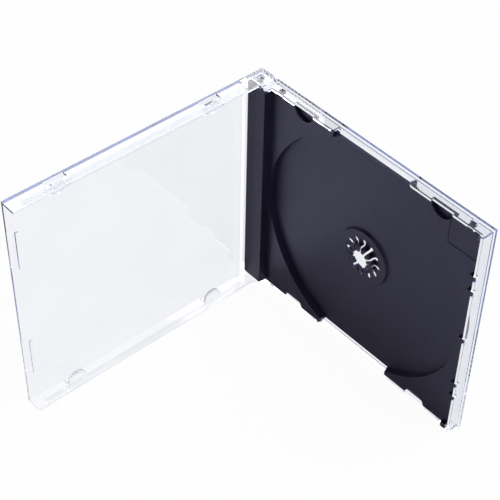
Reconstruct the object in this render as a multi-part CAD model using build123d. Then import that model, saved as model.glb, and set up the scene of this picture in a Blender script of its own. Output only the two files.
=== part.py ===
from build123d import *
import math
import os

# A clear case for one disc: a front cover hinged to a back cover, and a dark tray snapped into
# the back cover. The case stands on a long edge, opened to a right angle.
#
# Each piece is drawn in the shut case. There X runs from the spine to the free edge, Z runs
# along the hinge, and depth runs along -Y, from the back cover's outer face to the front.

# Disc
disc_radius = 60.0
disc_hole_radius = 7.5

# Shut case
panel_thickness = 1.2
long_edge_margin = 0.7
free_edge_margin = 5.4
open_angle = 90.0

# Front cover
front_wall = 1.1
ear_length = 10.2
ear_corner_radius = 3.0
ear_heel_radius = 1.3
tab_radius = 5.0
tab_thickness = 1.1
tab_window_half_width = 5.4
booklet_room = 2.8
hinge_lip_width = 1.6
hinge_lip_drop = 1.0
stop_inset = 4.8
stop_width = 1.3
stop_drop = 1.0
stop_length = 20.8
stop_spacing = 66.4
grip_pitch = 1.0
grip_depth = 0.12
grip_width = 0.5
grip_margin = 0.7

# Hinge
pin_radius = 1.45
pin_length = 1.1
dimple_radius = 1.8
dimple_depth = 0.4

# Back cover
back_wall = 1.0
spine_wall = 1.2
spine_drop = 0.3
free_wall_inset = 0.8
free_wall = 1.1
free_wall_drop = 2.4
hinge_wall_margin = 0.45
hinge_wall_drop = 2.2
low_wall_depth = 2.9
hinge_side_tongue = 12.65
free_side_tongue = 13.35
tongue_corner_radius = 2.4
tongue_margin = 0.25
snap_window_length = 3.2
snap_window_depth = 1.8
snap_window_floor = 0.3
hinge_snap_inset = 17.0
free_snap_inset = 10.0

# Tray
tray_wall = 1.1
floor_depth = 2.8
deck_rise = 2.95
strip_length = 11.4
strip_drop = 0.5
strip_foot = 0.6
rib_count = 8
rib_height = 0.12
rib_width = 0.7
well_gap = 0.65
well_slope = 0.35
well_overrun = 4.3
patch_length = 16.0
patch_height = 14.5
patch_drop = 0.2
post_length = 2.6
post_height = 1.8
post_drop = 0.3
catch_places = (-37.5, -29.0, 0.0, 29.0, 37.5)
catch_height = 2.2
catch_drop = 0.2
catch_thickness = 0.9
catch_reach = 0.5
catch_nub_depth = 1.0

# Hub
plateau_width = 3.8
plateau_rise = 1.2
plateau_slope = 0.5
finger_count = 12
finger_wall = 0.55
finger_dish = 0.5
finger_root_reach = 3.35
finger_tip_length = 3.05
hub_rise = 2.2
hub_lip = 0.15
hub_crown = 0.7
root_slot_width = 1.9
tip_slot_width = 1.0
slot_step_reach = 0.95

# Clearances
disc_clearance = 1.3
hub_clearance = 0.05
cover_clearance = 0.2
tray_clearance = 0.15
edge_clearance = 1.6
pin_clearance = 0.05
hinge_clearance = 0.3
swing_clearance = 0.28
tab_clearance = 1.1
booklet_clearance = 0.45
catch_clearance = 0.3

# Places along the length, from the spine
tray_start = spine_wall + tray_clearance
strip_end = tray_start + strip_length
well_radius = disc_radius + disc_clearance
hub_place = strip_end + strip_foot + well_gap + well_radius
case_length = hub_place + well_radius + free_edge_margin
free_wall_outer = case_length - free_wall_inset
free_wall_inner = free_wall_outer - free_wall
tray_end = free_wall_inner - edge_clearance
stop_place = case_length - stop_inset
snap_places = (hinge_snap_inset, case_length - free_snap_inset)

# Beside the disc the side walls are cut low and the tray is cut back
gap_half_height = well_radius - well_overrun
gap_half_length = math.sqrt(well_radius ** 2 - gap_half_height ** 2)
gap_start = hub_place - gap_half_length
gap_end = hub_place + gap_half_length
tab_room = tab_radius + tab_clearance
tab_places = (gap_start - hinge_side_tongue - tab_room, gap_end + free_side_tongue + tab_room)

# Places along the hinge, from the long edge
case_height = 2 * (well_radius + long_edge_margin)
middle = case_height / 2
back_side = front_wall + cover_clearance
tray_side = back_side + back_wall + tray_clearance

# Depths, from the back
deck_depth = floor_depth + deck_rise
tab_front = deck_depth + booklet_clearance
tab_back = tab_front - tab_thickness
front_inner = tab_front + booklet_room
case_depth = front_inner + panel_thickness
wall_rim = panel_thickness + cover_clearance
spine_depth = case_depth - spine_drop
strip_depth = case_depth - strip_drop
free_wall_depth = case_depth - free_wall_drop
hinge_wall_depth = case_depth - hinge_wall_drop
catch_depth = free_wall_depth - catch_drop
post_depth = free_wall_depth - post_drop
hollow_depth = tab_back - tab_clearance
side_wall_depth = deck_depth + tongue_margin
plateau_depth = floor_depth + plateau_rise
hub_depth = plateau_depth + hub_rise

# The hub, from its centre
hub_axis = Axis((hub_place, 0, middle), (0, -1, 0))
hub_radius = disc_hole_radius - hub_clearance
finger_tip_radius = hub_radius - finger_tip_length
slot_step_radius = hub_radius + slot_step_reach
finger_root_radius = hub_radius + finger_root_reach
plateau_radius = finger_root_radius + plateau_width

# The pins lie at mid depth, as far from the spine, so that both covers end flush at a right angle.
# The ears swing past the back panel, and the front panel swings past the tray's raised strip.
pivot_inset = case_depth / 2
heel_centre = (ear_length - pivot_inset - ear_heel_radius, pivot_inset - ear_heel_radius)
ear_sweep = math.hypot(*heel_centre) + ear_heel_radius
ear_reach = math.sqrt(ear_sweep ** 2 - (pivot_inset - panel_thickness) ** 2)
notch_end = pivot_inset + ear_reach + hinge_clearance
strip_sweep = math.hypot(strip_end - pivot_inset, strip_depth - pivot_inset) + swing_clearance
lip_edge = front_inner - hinge_lip_drop - pivot_inset
front_panel_start = pivot_inset + math.sqrt(strip_sweep ** 2 - lip_edge ** 2)


def block(lengths, depths, heights):
    """A block between two lengths from the spine, two depths and two heights."""
    solid = Box(
        lengths[1] - lengths[0],
        depths[1] - depths[0],
        heights[1] - heights[0],
        align=(Align.MIN, Align.MAX, Align.MIN),
    )
    return Pos(lengths[0], -depths[0], heights[0]) * solid


def area(xs, ys):
    """A rectangle between two x and two y values."""
    x_size = xs[1] - xs[0]
    y_size = ys[1] - ys[0]
    return Pos(xs[0] + x_size / 2, ys[0] + y_size / 2) * Rectangle(x_size, y_size)


def edge_plane(height):
    """A plane across the hinge: its x is length and its y is depth."""
    return Plane(origin=(0, 0, height), x_dir=(1, 0, 0), z_dir=(0, 0, -1))


def face_plane(depth):
    """A plane along the covers: its x is length and its y is height."""
    return Plane(origin=(0, -depth, 0), x_dir=(1, 0, 0), z_dir=(0, -1, 0))


def side_plate(outline, heights):
    """A plate across the hinge between two heights, from an outline in length and depth."""
    thickness = heights[1] - heights[0]
    return extrude(edge_plane(heights[1]) * outline, amount=thickness, dir=(0, 0, -1))


def face_plate(outline, depths):
    """A plate along the covers between two depths, from an outline in length and height."""
    thickness = depths[1] - depths[0]
    return extrude(face_plane(depths[0]) * outline, amount=thickness, dir=(0, -1, 0))


def round_corner(outline, x, y, radius):
    """The outline with its corner at x and y rounded."""
    corner = outline.vertices().sort_by_distance((x, y, 0))[0]
    return fillet(corner, radius)


def other_side(solid):
    """The same form at the other end of the hinge."""
    return mirror(solid, about=Plane.XY.offset(middle))


def both_sides(solid):
    """The form and its mirror image at the other end of the hinge."""
    return solid + other_side(solid)


def grip_grooves(lengths, depths, height):
    """Fine grooves in a side face at a height, between two lengths and two depths."""
    section = Polyline((-grip_width / 2, 0), (0, grip_depth), (grip_width / 2, 0), close=True)
    groove = Rot(90, 0, 0) * extrude(make_face(section), amount=depths[1] - depths[0], dir=(0, 0, 1))
    groove = Pos(lengths[0] + grip_pitch / 2, -depths[0], height) * groove
    count = int((lengths[1] - lengths[0]) / grip_pitch)
    return [Pos(i * grip_pitch, 0, 0) * groove for i in range(count)]


def front_side_wall():
    """One side wall of the front cover, with its ear, tab windows and fine grip grooves."""
    wall = area((0, case_length), (wall_rim, case_depth)) + area((0, ear_length), (0, case_depth))
    wall = round_corner(wall, 0, 0, ear_corner_radius)
    wall = round_corner(wall, ear_length, 0, ear_heel_radius)
    for place in tab_places:
        window = (place - tab_window_half_width, place + tab_window_half_width)
        wall -= area(window, (tab_front, front_inner))
    lengths = (front_panel_start + hinge_lip_width, stop_place)
    depths = (wall_rim + grip_margin, tab_front - grip_margin)
    return side_plate(wall, (0, front_wall)) - grip_grooves(lengths, depths, 0)


def front_tab(place):
    """A half-moon tab that holds the booklet against the front panel."""
    disc = Pos(place, front_wall) * Circle(tab_radius)
    half = disc & area((place - tab_radius, place + tab_radius), (front_wall, case_height))
    return face_plate(half, (tab_back, tab_front))


def hinge_pin():
    """The pin inside an ear."""
    start = Pos(pivot_inset, -pivot_inset, front_wall)
    return start * Cylinder(pin_radius, pin_length, align=(Align.CENTER, Align.CENTER, Align.MIN))


def ear_dimple():
    """The shallow round hollow outside an ear."""
    place = Pos(pivot_inset, -pivot_inset, 0)
    return place * Cone(
        dimple_radius,
        dimple_radius - dimple_depth,
        dimple_depth,
        align=(Align.CENTER, Align.CENTER, Align.MIN),
    )


def booklet_stop():
    """A low ridge near the free edge."""
    centre = middle - stop_spacing / 2
    return block(
        (stop_place, stop_place + stop_width),
        (front_inner - stop_drop, front_inner),
        (centre - stop_length / 2, centre + stop_length / 2),
    )


def front_cover():
    """The clear front cover, drawn shut."""
    cover = block((front_panel_start, case_length), (front_inner, case_depth), (0, case_height))
    cover += block(
        (front_panel_start, front_panel_start + hinge_lip_width),
        (front_inner - hinge_lip_drop, front_inner),
        (front_wall, case_height - front_wall),
    )
    side = front_side_wall() + hinge_pin() - ear_dimple()
    for place in tab_places:
        side += front_tab(place)
    return cover + both_sides(side + booklet_stop())


def back_panel():
    """The flat back, with its two hinge corners cut away for the ears."""
    outline = area((0, case_length), (0, case_height))
    notch = area((0, notch_end), (0, back_side))
    outline -= notch
    outline -= mirror(notch, about=Plane.XZ.offset(-middle))
    return face_plate(outline, (0, panel_thickness))


def back_side_wall():
    """One side wall of the back cover: tall at the hinge, and cut low beside the disc."""
    hinge_wall_end = strip_end + hinge_wall_margin
    wall = area((0, free_wall_outer), (0, low_wall_depth))
    wall += area((0, hinge_wall_end), (0, hinge_wall_depth))
    wall += area((hinge_wall_end, gap_start), (0, side_wall_depth))
    wall += area((gap_end, free_wall_outer), (0, side_wall_depth))
    wall = round_corner(wall, gap_start, side_wall_depth, tongue_corner_radius)
    wall = round_corner(wall, gap_end, side_wall_depth, tongue_corner_radius)
    for place in tab_places:
        notch = (place - tab_room, place + tab_room)
        wall -= area(notch, (tab_back - cover_clearance, side_wall_depth))
    for place in snap_places:
        window = (place - snap_window_length / 2, place + snap_window_length / 2)
        floor = panel_thickness + snap_window_floor
        wall -= area(window, (floor, floor + snap_window_depth))
    wall -= Pos(pivot_inset, pivot_inset) * Circle(pin_radius + pin_clearance)
    depths = (panel_thickness, low_wall_depth)
    return side_plate(wall, (back_side, back_side + back_wall)) - grip_grooves(
        (gap_start, gap_end), depths, back_side
    )


def catch_slots():
    """Slots in the rim of the free-edge wall, for the tray's catches."""
    slots = []
    for place in catch_places:
        half = catch_height / 2 + catch_clearance
        slots.append(block(
            (free_wall_inner, free_wall_outer),
            (catch_depth - catch_nub_depth - catch_clearance, free_wall_depth),
            (middle + place - half, middle + place + half),
        ))
    return slots


def back_cover():
    """The clear back cover."""
    heights = (back_side, case_height - back_side)
    cover = back_panel()
    cover += block((0, spine_wall), (0, spine_depth), heights)
    cover += block((free_wall_inner, free_wall_outer), (0, free_wall_depth), heights)
    cover -= catch_slots()
    return cover + both_sides(back_side_wall())


def tray_form(inset):
    """The tray as a filled form, or with an inset the room under it, open at three edges."""
    start = tray_start + inset
    end = tray_end + inset
    bottom = tray_side - inset
    heights = (bottom, case_height - bottom)
    deck = deck_depth - inset
    form = block((start, end), (panel_thickness, deck), heights)
    strip = Polyline(
        (start, panel_thickness),
        (start, strip_depth - inset),
        (strip_end - inset, strip_depth - inset),
        (strip_end + strip_foot - inset, deck),
        (strip_end + strip_foot - inset, panel_thickness),
        close=True,
    )
    form += side_plate(make_face(strip), heights)
    well_floor = floor_depth - inset
    well_top = deck_depth + inset
    well = face_plane(well_floor) * Pos(hub_place, middle) * Cone(
        well_radius - well_slope + inset,
        well_radius + inset,
        deck - well_floor,
        align=(Align.CENTER, Align.CENTER, Align.MIN),
    )
    form -= well
    for place in tab_places:
        hollow = Pos(place, front_wall) * Circle(tab_room + inset)
        form -= both_sides(face_plate(hollow, (hollow_depth - inset, well_top)))
    gap = area((gap_start - inset, gap_end + inset), (0, middle - gap_half_height + inset))
    form -= both_sides(face_plate(gap, (panel_thickness, well_top)))
    plateau = face_plane(well_floor) * Pos(hub_place, middle) * Cone(
        plateau_radius + plateau_slope - inset,
        plateau_radius - inset,
        plateau_rise,
        align=(Align.CENTER, Align.CENTER, Align.MIN),
    )
    return form + plateau


def strip_ribs():
    """Fine ribs along the raised strip."""
    pitch = strip_length / rib_count
    heights = (tray_side, case_height - tray_side)
    ribs = []
    for i in range(rib_count):
        start = tray_start + (i + 0.5) * pitch - rib_width / 2
        ribs.append(block((start, start + rib_width), (strip_depth, strip_depth + rib_height), heights))
    return ribs


def hub_fingers():
    """The sprung rosette that grips the disc's hole."""
    dish = plateau_depth - finger_dish
    overlap = finger_root_radius + finger_wall
    profile = Polyline(
        (overlap, plateau_depth),
        (finger_root_radius, plateau_depth),
        (hub_radius + finger_wall, dish),
        (hub_radius, dish),
        (hub_radius, hub_depth - hub_crown - hub_lip),
        (hub_radius + hub_lip, hub_depth - hub_crown),
        (hub_radius - hub_crown, hub_depth),
        (finger_tip_radius, hub_depth - hub_lip),
        (finger_tip_radius, hub_depth - hub_lip - finger_wall),
        (hub_radius - finger_wall, hub_depth - hub_crown - finger_wall),
        (hub_radius - finger_wall, dish - finger_wall),
        (hub_radius + finger_wall, dish - finger_wall),
        (overlap, plateau_depth - finger_wall),
        close=True,
    )
    plane = Plane(origin=(hub_place, 0, middle), x_dir=(1, 0, 0), z_dir=(0, 0, -1))
    rosette = revolve(plane * make_face(profile), axis=hub_axis, revolution_arc=360)
    slot = area((0, slot_step_radius), (-tip_slot_width / 2, tip_slot_width / 2))
    root = (slot_step_radius, finger_root_radius - root_slot_width / 2)
    slot += area(root, (-root_slot_width / 2, root_slot_width / 2))
    slot += Pos(root[1], 0) * Circle(root_slot_width / 2)
    slots = Sketch() + [Rot(0, 0, i * 360 / finger_count) * slot for i in range(finger_count)]
    cut = Pos(hub_place, middle) * slots
    return rosette - face_plate(cut, (panel_thickness, case_depth))


def free_edge_catches():
    """Upright catches on the tray's free edge, each with a nub in its slot."""
    catches = []
    for place in catch_places:
        heights = (middle + place - catch_height / 2, middle + place + catch_height / 2)
        catches.append(block(
            (tray_end - catch_thickness, free_wall_inner - tray_clearance),
            (deck_depth - patch_drop, catch_depth),
            heights,
        ))
        catches.append(block(
            (free_wall_inner - tray_clearance, free_wall_inner + catch_reach),
            (catch_depth - catch_nub_depth, catch_depth),
            heights,
        ))
    return catches


def side_snaps():
    """Legs under the tray's long edge, each with a lug in its window."""
    floor = panel_thickness + snap_window_floor + catch_clearance
    snaps = []
    for place in snap_places:
        half = snap_window_length / 2 - catch_clearance
        lengths = (place - half, place + half)
        snaps.append(block(
            lengths,
            (floor, deck_depth - patch_drop),
            (tray_side, tray_side + tray_wall),
        ))
        snaps.append(block(
            lengths,
            (floor, floor + snap_window_depth - 2 * catch_clearance),
            (tray_side - tray_clearance - catch_reach, tray_side),
        ))
    return snaps


def corner_post():
    """A post at a free corner of the deck, with a toe over the side wall's rim."""
    lengths = (tray_end - post_length, tray_end)
    post = block(
        lengths,
        (deck_depth - patch_drop, post_depth),
        (tray_side, tray_side + post_height),
    )
    toe_depths = (side_wall_depth + tray_clearance, post_depth)
    return post + block(lengths, toe_depths, (back_side + tray_clearance, tray_side))


def disc_tray():
    """The dark tray: raised strip, deck, disc well and hub."""
    tray = tray_form(0) - tray_form(tray_wall)
    hole = Pos(hub_place, middle) * Circle(finger_root_radius)
    tray -= face_plate(hole, (panel_thickness, case_depth))
    tray += hub_fingers()
    tray += strip_ribs()
    patch_top = case_height - tray_side
    patch = (deck_depth - patch_drop, deck_depth)
    tray -= block((tray_end - patch_length, tray_end), patch, (patch_top - patch_height, patch_top))
    tray += both_sides(corner_post() + side_snaps())
    tray += free_edge_catches()
    return tray


def main():
    to_frame = Pos(-case_length / 2, case_length / 2, 0)
    to_hinge = Pos(pivot_inset, -pivot_inset, 0)
    from_hinge = Pos(-pivot_inset, pivot_inset, 0)
    swing = to_hinge * Rot(0, 0, -open_angle) * from_hinge
    pieces = {
        "back_cover": to_frame * back_cover(),
        "disc_tray": to_frame * disc_tray(),
        "front_cover": to_frame * swing * front_cover(),
    }
    os.makedirs("parts", exist_ok=True)
    for name, piece in pieces.items():
        piece.label = name
        export_step(piece, f"parts/{name}.step")


if __name__ == "__main__":
    main()
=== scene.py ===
import math

import bpy
from mathutils import Matrix, Vector

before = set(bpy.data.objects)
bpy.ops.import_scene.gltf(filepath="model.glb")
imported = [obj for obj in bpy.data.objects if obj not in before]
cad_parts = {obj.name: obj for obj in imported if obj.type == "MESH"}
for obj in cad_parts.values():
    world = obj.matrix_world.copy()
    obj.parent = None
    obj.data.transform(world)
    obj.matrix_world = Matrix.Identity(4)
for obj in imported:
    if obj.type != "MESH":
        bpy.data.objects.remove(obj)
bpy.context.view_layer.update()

MM = 0.001

# The camera, as fitted to the case's corners in the photograph
CAMERA_PLACE = Vector((309.5, -279.0, 501.8)) * MM
CAMERA_TURN = math.radians(47.79)
CAMERA_RISE = math.radians(43.61)
CAMERA_ROLL = math.radians(1.39)
FOCAL_PIXELS = 1395.0
IMAGE_PIXELS = 500
SENSOR_MM = 36.0
CLIP_START = 0.01
CLIP_END = 50.0

# Each lamp's place, width, height and power, in metres and watts
KEY = ((0.45, 0.55, 1.45), 1.2, 1.2, 19.0)
STRIP = ((-1.02, 0.74, 1.09), 0.5, 0.24, 1.36)
LAMP_AIM = Vector((0, 0, 0.06))

# The sky's strength at the horizon and overhead, and the height where its fade ends
SKY_LOW = 0.9
SKY_HIGH = 0.12
SKY_RISE = 0.7
WHITE = (1, 1, 1, 1)
BOUNCES = 160

FLOOR_SIZE = 12.0
FLOOR_TINT = (0.92, 0.92, 0.92, 1)
FLOOR_SHOWN = 0.96

# Each pattern's features per metre and its detail
TINT_PATTERN = (30.0, 3.0)
RUB_PATTERN = (160.0, 6.0)
WAVE_PATTERN = (25.0, 1.0)
SHADE_PATTERN = (60.0, 3.0)
SATIN_PATTERN = (220.0, 5.0)
GRAIN_PATTERN = (2600.0, 3.0)
BLEND_START = 0.35
BLEND_END = 0.65

# Clear plastic
CLEAR_INDEX = 1.42
CLEAR_INSIDE = (0.2, 0.32, 0.72, 1)
CLEAR_DENSITY = 9.0
CLEAR_TINTS = ((0.90, 0.91, 0.94), (0.915, 0.925, 0.955))
CLEAR_ROUGHNESS = (0.01, 0.03)
WAVE_DEPTH = 0.02 * MM

# Black plastic
DARK_INDEX = 1.64
DARK_SHINE = (0.57, 0.53, 1.0, 1)
DARK_SHADES = ((0.004, 0.0035, 0.011), (0.0055, 0.005, 0.0135))
DARK_ROUGHNESS = (0.35, 0.46)
GRAIN_DEPTH = 0.02 * MM
GRAIN_STRENGTH = 0.25


def new_material(name):
    """An empty node material, with its tree and its output."""
    material = bpy.data.materials.new(name)
    material.use_nodes = True
    tree = material.node_tree
    tree.nodes.clear()
    return material, tree, tree.nodes.new("ShaderNodeOutputMaterial")


def add(tree, kind, **values):
    """A node of that kind, with its inputs set by name."""
    node = tree.nodes.new(kind)
    for name, value in values.items():
        node.inputs[name.replace("_", " ")].default_value = value
    return node


def noise(tree, scale, detail):
    """A noise pattern in the object's own coordinates, in features per metre."""
    place = tree.nodes.new("ShaderNodeTexCoord")
    pattern = add(tree, "ShaderNodeTexNoise", Scale=scale, Detail=detail)
    tree.links.new(place.outputs["Object"], pattern.inputs["Vector"])
    return pattern.outputs["Fac"]


def ramp(tree, source, low, high):
    """Two colours, blended by a pattern."""
    blend = tree.nodes.new("ShaderNodeValToRGB")
    first, last = blend.color_ramp.elements
    first.position, last.position = BLEND_START, BLEND_END
    first.color, last.color = (*low, 1), (*high, 1)
    tree.links.new(source, blend.inputs["Fac"])
    return blend.outputs["Color"]


def spread(tree, source, low, high):
    """A pattern, as a number between two limits."""
    reach = add(tree, "ShaderNodeMapRange", To_Min=low, To_Max=high)
    tree.links.new(source, reach.inputs["Value"])
    return reach.outputs["Result"]


def bump(tree, source, distance, strength=1.0):
    """Small unevenness of a surface."""
    node = add(tree, "ShaderNodeBump", Strength=strength, Distance=distance)
    tree.links.new(source, node.inputs["Height"])
    return node.outputs["Normal"]


def reflection_kept_on_rails(tree):
    """Painted reflection: one on the rails, which face along the hinge, and nothing on
    the broad faces, so only the rails keep their reflection.
    """
    place = tree.nodes.new("ShaderNodeTexCoord")
    parts = tree.nodes.new("ShaderNodeSeparateXYZ")
    size = tree.nodes.new("ShaderNodeMath")
    size.operation = "ABSOLUTE"
    tree.links.new(place.outputs["Normal"], parts.inputs["Vector"])
    tree.links.new(parts.outputs["Z"], size.inputs[0])
    return size.outputs[0]


def clear_plastic():
    """Clear polystyrene: faintly tinted, glossy, a little wavy and lightly rubbed."""
    material, tree, output = new_material("clear_polystyrene")
    shader = add(tree, "ShaderNodeBsdfPrincipled",
                 IOR=CLEAR_INDEX, Transmission_Weight=1.0)
    tint = ramp(tree, noise(tree, *TINT_PATTERN), *CLEAR_TINTS)
    rub = spread(tree, noise(tree, *RUB_PATTERN), *CLEAR_ROUGHNESS)
    wave = bump(tree, noise(tree, *WAVE_PATTERN), WAVE_DEPTH)
    tree.links.new(tint, shader.inputs["Base Color"])
    tree.links.new(rub, shader.inputs["Roughness"])
    # Painted reflection: the specular tint keeps reflections on the rails and takes
    # them off the broad faces, by which way each face points
    tree.links.new(reflection_kept_on_rails(tree), shader.inputs["Specular Tint"])
    tree.links.new(wave, shader.inputs["Normal"])
    tree.links.new(shader.outputs["BSDF"], output.inputs["Surface"])
    inside = add(tree, "ShaderNodeVolumeAbsorption",
                 Color=CLEAR_INSIDE, Density=CLEAR_DENSITY)
    tree.links.new(inside.outputs["Volume"], output.inputs["Volume"])
    return material


def dark_plastic():
    """Black moulded plastic with a fine satin texture."""
    material, tree, output = new_material("black_plastic")
    shader = add(tree, "ShaderNodeBsdfPrincipled",
                 IOR=DARK_INDEX, Specular_Tint=DARK_SHINE)
    shade = ramp(tree, noise(tree, *SHADE_PATTERN), *DARK_SHADES)
    satin = spread(tree, noise(tree, *SATIN_PATTERN), *DARK_ROUGHNESS)
    grain = bump(tree, noise(tree, *GRAIN_PATTERN), GRAIN_DEPTH, GRAIN_STRENGTH)
    tree.links.new(shade, shader.inputs["Base Color"])
    tree.links.new(satin, shader.inputs["Roughness"])
    tree.links.new(grain, shader.inputs["Normal"])
    tree.links.new(shader.outputs["BSDF"], output.inputs["Surface"])
    return material


def seen(tree):
    """One for the camera's own rays and those that pass through plastic."""
    path = tree.nodes.new("ShaderNodeLightPath")
    either = tree.nodes.new("ShaderNodeMath")
    either.operation = "MAXIMUM"
    tree.links.new(path.outputs["Is Camera Ray"], either.inputs[0])
    tree.links.new(path.outputs["Is Transmission Ray"], either.inputs[1])
    return either.outputs[0]


def floor_material():
    """A pale floor that shows nearly white and keeps a soft shadow."""
    material, tree, output = new_material("pale_floor")
    matt = add(tree, "ShaderNodeBsdfDiffuse", Color=FLOOR_TINT)
    white = add(tree, "ShaderNodeEmission", Strength=1.0)
    share = tree.nodes.new("ShaderNodeMath")
    share.operation = "MULTIPLY"
    share.inputs[1].default_value = FLOOR_SHOWN
    mix = tree.nodes.new("ShaderNodeMixShader")
    tree.links.new(seen(tree), share.inputs[0])
    tree.links.new(share.outputs[0], mix.inputs["Fac"])
    tree.links.new(matt.outputs["BSDF"], mix.inputs[1])
    tree.links.new(white.outputs["Emission"], mix.inputs[2])
    tree.links.new(mix.outputs["Shader"], output.inputs["Surface"])
    return material


def make_floor():
    """A wide pale floor under the case."""
    bpy.ops.mesh.primitive_plane_add(size=FLOOR_SIZE, location=(0, 0, 0))
    floor = bpy.context.object
    floor.name = "floor"
    floor.data.materials.append(floor_material())


def make_world():
    """White behind everything, and a soft light that fades from the horizon up."""
    world = bpy.data.worlds.new("studio")
    bpy.context.scene.world = world
    world.use_nodes = True
    tree = world.node_tree
    tree.nodes.clear()
    output = tree.nodes.new("ShaderNodeOutputWorld")
    place = tree.nodes.new("ShaderNodeTexCoord")
    height = tree.nodes.new("ShaderNodeSeparateXYZ")
    fade = add(tree, "ShaderNodeMapRange",
               From_Max=SKY_RISE, To_Min=SKY_LOW, To_Max=SKY_HIGH)
    light = add(tree, "ShaderNodeBackground", Color=WHITE)
    tree.links.new(place.outputs["Generated"], height.inputs["Vector"])
    tree.links.new(height.outputs["Z"], fade.inputs["Value"])
    tree.links.new(fade.outputs["Result"], light.inputs["Strength"])
    white = add(tree, "ShaderNodeBackground", Color=WHITE, Strength=1.0)
    mix = tree.nodes.new("ShaderNodeMixShader")
    tree.links.new(seen(tree), mix.inputs["Fac"])
    tree.links.new(light.outputs["Background"], mix.inputs[1])
    tree.links.new(white.outputs["Background"], mix.inputs[2])
    tree.links.new(mix.outputs["Shader"], output.inputs["Surface"])


def soft_light(name, place, width, height, power):
    """An oblong lamp that faces the case."""
    data = bpy.data.lights.new(name, "AREA")
    data.shape = "RECTANGLE"
    data.size = width
    data.size_y = height
    data.energy = power
    lamp = bpy.data.objects.new(name, data)
    bpy.context.scene.collection.objects.link(lamp)
    lamp.location = place
    aim = LAMP_AIM - lamp.location
    lamp.rotation_euler = aim.to_track_quat("-Z", "Y").to_euler()


def make_camera():
    """The camera at the photograph's place, turn, rise and roll."""
    sin_turn, cos_turn = math.sin(CAMERA_TURN), math.cos(CAMERA_TURN)
    sin_rise, cos_rise = math.sin(CAMERA_RISE), math.cos(CAMERA_RISE)
    back = Vector((sin_turn * cos_rise, -cos_turn * cos_rise, sin_rise))
    right = Vector((cos_turn, sin_turn, 0))
    up = back.cross(right)
    rolled_right = math.cos(CAMERA_ROLL) * right + math.sin(CAMERA_ROLL) * up
    rolled_up = math.cos(CAMERA_ROLL) * up - math.sin(CAMERA_ROLL) * right
    turn = Matrix((rolled_right, rolled_up, back)).transposed()
    data = bpy.data.cameras.new("camera")
    data.sensor_width = SENSOR_MM
    data.lens = FOCAL_PIXELS / IMAGE_PIXELS * SENSOR_MM
    data.clip_start = CLIP_START
    data.clip_end = CLIP_END
    camera = bpy.data.objects.new("camera", data)
    bpy.context.scene.collection.objects.link(camera)
    camera.matrix_world = Matrix.Translation(CAMERA_PLACE) @ turn.to_4x4()
    bpy.context.scene.camera = camera


def dress(node, material):
    """Gives a piece of the case its material."""
    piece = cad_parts[node]
    piece.data.materials.clear()
    piece.data.materials.append(material)


# Light that runs along inside the thin panels turns back many times
cycles = bpy.context.scene.cycles
cycles.max_bounces = BOUNCES
cycles.glossy_bounces = BOUNCES
cycles.transmission_bounces = BOUNCES

clear = clear_plastic()
dress("front_cover", clear)
dress("back_cover", clear)
dress("disc_tray", dark_plastic())

make_floor()
make_world()
soft_light("key", *KEY)
soft_light("strip", *STRIP)
make_camera()

bpy.context.scene.view_settings.view_transform = "Standard"
